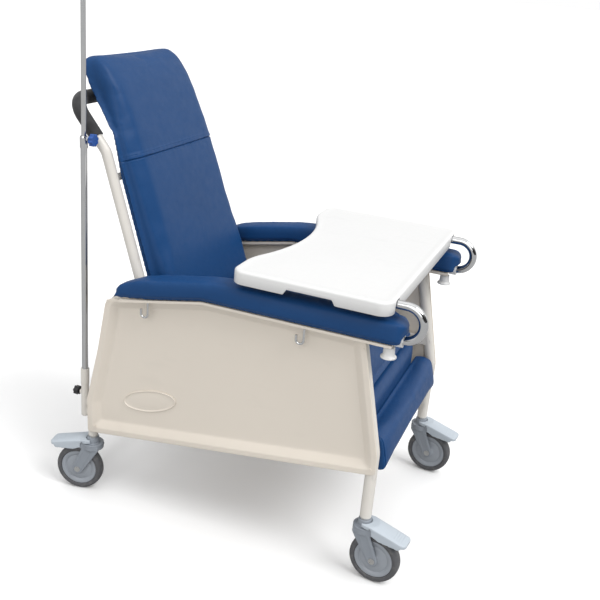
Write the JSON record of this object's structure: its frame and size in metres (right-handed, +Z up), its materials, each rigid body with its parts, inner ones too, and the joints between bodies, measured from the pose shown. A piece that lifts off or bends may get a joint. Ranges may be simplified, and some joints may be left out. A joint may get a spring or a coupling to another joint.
{
  "type": "medical recliner chair with drip pole",
  "caption": "Wheeled hospital recliner with blue padded seat, back and legrest, sliding tray, braked castors and a height-adjustable infusion pole with bag hooks.",
  "frame": {"origin": "on the floor, midway between the castors' stems and between the two sides", "axes": "+X towards the sitter's left, +Y towards the back, so the sitter faces -Y, +Z up"},
  "size_m": [0.6554, 0.9774, 1.4901],
  "materials": {
    "cream_frame": "satin",
    "cream_plastic": "satin",
    "vinyl_blue": "satin",
    "chrome": "polished",
    "steel": "satin",
    "white_plastic": "satin",
    "plywood": "matte",
    "foam_black": "matte",
    "knob_blue": "satin",
    "knob_black": "satin",
    "castor_plastic": "satin",
    "tyre_grey": "matte"
  },
  "bodies": {
    "frame": {"side_frame_left": "cream_frame", "side_frame_right": "cream_frame", "base_cross_tubes": "cream_frame", "seat_cross_tubes": "cream_frame", "side_panel_left": "cream_plastic", "side_panel_right": "cream_plastic", "arm_rail_left": "cream_plastic", "arm_rail_right": "cream_plastic", "arm_pad_left": "vinyl_blue", "arm_pad_right": "vinyl_blue", "bag_hooks": "chrome", "tray_bushings": "white_plastic", "seat_board": "plywood", "seat_cushion": "vinyl_blue", "iv_socket": "cream_frame", "pivot_pins": "steel", "castor_stems": "steel", "panel_screws": "cream_plastic"},
    "knob_left": {"tray_knob_left": "white_plastic"},
    "knob_right": {"tray_knob_right": "white_plastic"},
    "tray": {"tray_top": "white_plastic", "tray_loop_left": "chrome", "tray_loop_right": "chrome", "tray_clips": "white_plastic"},
    "back": {"back_frame": "cream_frame", "handle_grip": "foam_black", "back_board": "vinyl_blue", "back_cushion": "vinyl_blue"},
    "legrest": {"legrest_frame": "cream_frame", "legrest_board": "plywood", "calf_cushion": "vinyl_blue", "foot_cushion": "vinyl_blue"},
    "link_left": {"recline_link_left": "cream_frame"},
    "link_right": {"recline_link_right": "cream_frame"},
    "iv_lower": {"iv_lower_tube": "chrome", "iv_collar": "chrome"},
    "iv_collar_screw": {"iv_collar_knob": "knob_blue"},
    "iv_socket_screw": {"iv_socket_knob": "knob_black"},
    "iv_upper": {"iv_upper_tube": "chrome", "iv_hook_head": "chrome"},
    "front_left_swivel": {"front_left_fork": "castor_plastic", "front_left_axle": "steel"},
    "front_left_roll": {"front_left_wheel": "castor_plastic", "front_left_tyre": "tyre_grey"},
    "front_left_brake": {"front_left_pedal": "castor_plastic"},
    "front_right_swivel": {"front_right_fork": "castor_plastic", "front_right_axle": "steel"},
    "front_right_roll": {"front_right_wheel": "castor_plastic", "front_right_tyre": "tyre_grey"},
    "front_right_brake": {"front_right_pedal": "castor_plastic"},
    "rear_left_swivel": {"rear_left_fork": "castor_plastic", "rear_left_axle": "steel"},
    "rear_left_roll": {"rear_left_wheel": "castor_plastic", "rear_left_tyre": "tyre_grey"},
    "rear_left_brake": {"rear_left_pedal": "castor_plastic"},
    "rear_right_swivel": {"rear_right_fork": "castor_plastic", "rear_right_axle": "steel"},
    "rear_right_roll": {"rear_right_wheel": "castor_plastic", "rear_right_tyre": "tyre_grey"},
    "rear_right_brake": {"rear_right_pedal": "castor_plastic"}
  },
  "joints": [
    {"name": "back_recline", "type": "hinge", "parent": "frame", "child": "back", "pos_m": [0, 0.218, 0.425], "axis": [-1, 0, 0], "range_deg": [0, 50]},
    {"name": "legrest_lift", "type": "hinge", "parent": "frame", "child": "legrest", "pos_m": [0, -0.312, 0.398], "axis": [-1, 0, 0], "range_deg": [0, 80]},
    {"name": "recline_link_left_swing", "type": "hinge", "parent": "back", "child": "link_left", "pos_m": [0.2385, 0.24124, 0.37515], "axis": [-1, 0, 0], "range_deg": [-50, 0]},
    {"name": "recline_link_right_swing", "type": "hinge", "parent": "back", "child": "link_right", "pos_m": [-0.2385, 0.24124, 0.37515], "axis": [-1, 0, 0], "range_deg": [-50, 0]},
    {"name": "tray_slide", "type": "slide", "parent": "frame", "child": "tray", "axis": [0, 1, 0], "range_m": [-0.15, 0]},
    {"name": "tray_knob_left_pull", "type": "slide", "parent": "frame", "child": "knob_left", "axis": [0, 0, -1], "range_m": [0, 0.008], "stiffness_N_per_m": 300, "springref_m": -0.004},
    {"name": "tray_knob_right_pull", "type": "slide", "parent": "frame", "child": "knob_right", "axis": [0, 0, -1], "range_m": [0, 0.008], "stiffness_N_per_m": 300, "springref_m": -0.004},
    {"name": "iv_pole_turn", "type": "hinge", "parent": "frame", "child": "iv_lower", "pos_m": [-0.265, 0.407, 0.3], "axis": [0, 0, 1], "range_deg": [-180, 10]},
    {"name": "iv_socket_knob_turn", "type": "hinge", "parent": "frame", "child": "iv_socket_screw", "pos_m": [-0.265, 0.407, 0.276], "axis": [0, 1, 0], "range_deg": [-180, 180]},
    {"name": "iv_pole_lift", "type": "slide", "parent": "iv_lower", "child": "iv_upper", "axis": [0, 0, 1], "range_m": [-0.25, 0.25]},
    {"name": "iv_collar_knob_turn", "type": "hinge", "parent": "iv_lower", "child": "iv_collar_screw", "pos_m": [-0.265, 0.407, 0.937], "axis": [0, -1, 0], "range_deg": [-180, 180]},
    {"name": "front_left_swivel_turn", "type": "hinge", "parent": "frame", "child": "front_left_swivel", "pos_m": [0.275, -0.376, 0.15], "axis": [0, 0, 1], "continuous": true},
    {"name": "front_left_wheel_roll", "type": "hinge", "parent": "front_left_swivel", "child": "front_left_roll", "pos_m": [0.27186, -0.41186, 0.0625], "axis": [-0.9962, 0.0872, 0], "continuous": true},
    {"name": "front_left_brake_press", "type": "hinge", "parent": "front_left_swivel", "child": "front_left_brake", "pos_m": [0.27308, -0.39792, 0.147], "axis": [0.9962, -0.0872, 0], "range_deg": [0, 10]},
    {"name": "front_right_swivel_turn", "type": "hinge", "parent": "frame", "child": "front_right_swivel", "pos_m": [-0.275, -0.376, 0.15], "axis": [0, 0, 1], "continuous": true},
    {"name": "front_right_wheel_roll", "type": "hinge", "parent": "front_right_swivel", "child": "front_right_roll", "pos_m": [-0.27814, -0.41186, 0.0625], "axis": [-0.9962, 0.0872, 0], "continuous": true},
    {"name": "front_right_brake_press", "type": "hinge", "parent": "front_right_swivel", "child": "front_right_brake", "pos_m": [-0.27692, -0.39792, 0.147], "axis": [0.9962, -0.0872, 0], "range_deg": [0, 10]},
    {"name": "rear_left_swivel_turn", "type": "hinge", "parent": "frame", "child": "rear_left_swivel", "pos_m": [0.275, 0.376, 0.15], "axis": [0, 0, 1], "continuous": true},
    {"name": "rear_left_wheel_roll", "type": "hinge", "parent": "rear_left_swivel", "child": "rear_left_roll", "pos_m": [0.26875, 0.41145, 0.0625], "axis": [0.9848, 0.1736, 0], "continuous": true},
    {"name": "rear_left_brake_press", "type": "hinge", "parent": "rear_left_swivel", "child": "rear_left_brake", "pos_m": [0.27118, 0.39767, 0.147], "axis": [-0.9848, -0.1736, 0], "range_deg": [0, 10]},
    {"name": "rear_right_swivel_turn", "type": "hinge", "parent": "frame", "child": "rear_right_swivel", "pos_m": [-0.275, 0.376, 0.15], "axis": [0, 0, 1], "continuous": true},
    {"name": "rear_right_wheel_roll", "type": "hinge", "parent": "rear_right_swivel", "child": "rear_right_roll", "pos_m": [-0.28125, 0.41145, 0.0625], "axis": [0.9848, 0.1736, 0], "continuous": true},
    {"name": "rear_right_brake_press", "type": "hinge", "parent": "rear_right_swivel", "child": "rear_right_brake", "pos_m": [-0.27882, 0.39767, 0.147], "axis": [-0.9848, -0.1736, 0], "range_deg": [0, 10]}
  ],
  "couplings": [
    {"joint": "legrest_lift", "follows": "back_recline", "ratio": 1.6},
    {"joint": "recline_link_left_swing", "follows": "back_recline", "ratio": -1},
    {"joint": "recline_link_right_swing", "follows": "back_recline", "ratio": -1}
  ]
}
